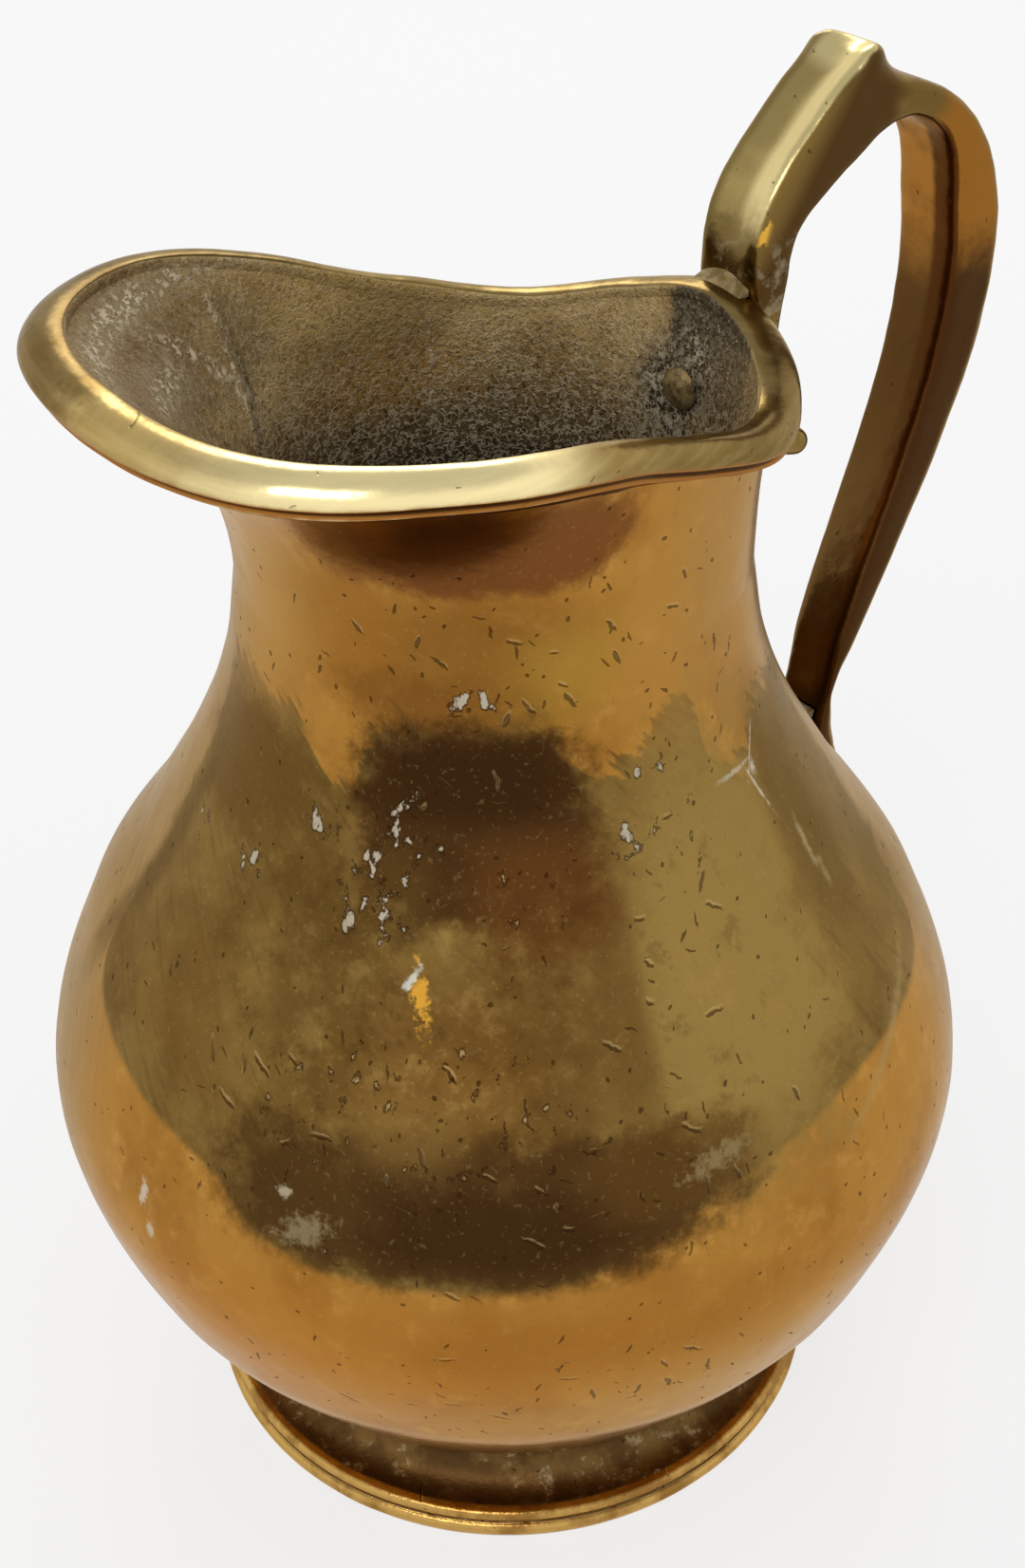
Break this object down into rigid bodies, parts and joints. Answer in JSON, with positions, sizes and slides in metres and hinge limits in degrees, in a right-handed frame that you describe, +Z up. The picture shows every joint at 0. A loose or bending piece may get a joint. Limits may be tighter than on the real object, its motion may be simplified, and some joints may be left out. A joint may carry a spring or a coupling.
{
  "type": "brass jug",
  "caption": "Pear-shaped cast brass jug with a flared pouring lip, banded rim, moulded foot ring and a riveted strap handle with a thumb rest.",
  "frame": {"origin": "on the surface that the jug stands on, under the middle of its whole length, 9 mm from the turning axis of the bowl towards the handle", "axes": "+Z up along the bowl's turning axis, +X towards the handle, -X towards the pouring lip"},
  "size_m": [0.138, 0.12, 0.1765],
  "materials": {
    "cast_brass": "worn polish over golden brown patina, small casting pits and scratches",
    "rim_brass": "polished on top by handling, dark in the groove under it",
    "foot_brass": "olive brown patina with a polished bead",
    "braze": "rough and tarnished",
    "disc_brass": "turned, dull and tarnished",
    "handle_brass": "polished crown, reddish brown on the inner faces",
    "rivet_brass": "tarnished, with pale crust round the head",
    "solder": "grey, rough hard solder"
  },
  "bodies": {
    "root": {"body_shell": "cast_brass", "rim_band": "rim_brass", "foot_ring": "foot_brass", "foot_braze": "braze", "base_disc": "disc_brass", "handle": "handle_brass", "upper_rivet": "rivet_brass", "lower_rivet": "rivet_brass", "root_solder": "solder", "lower_solder": "solder"}
  },
  "joints": []
}
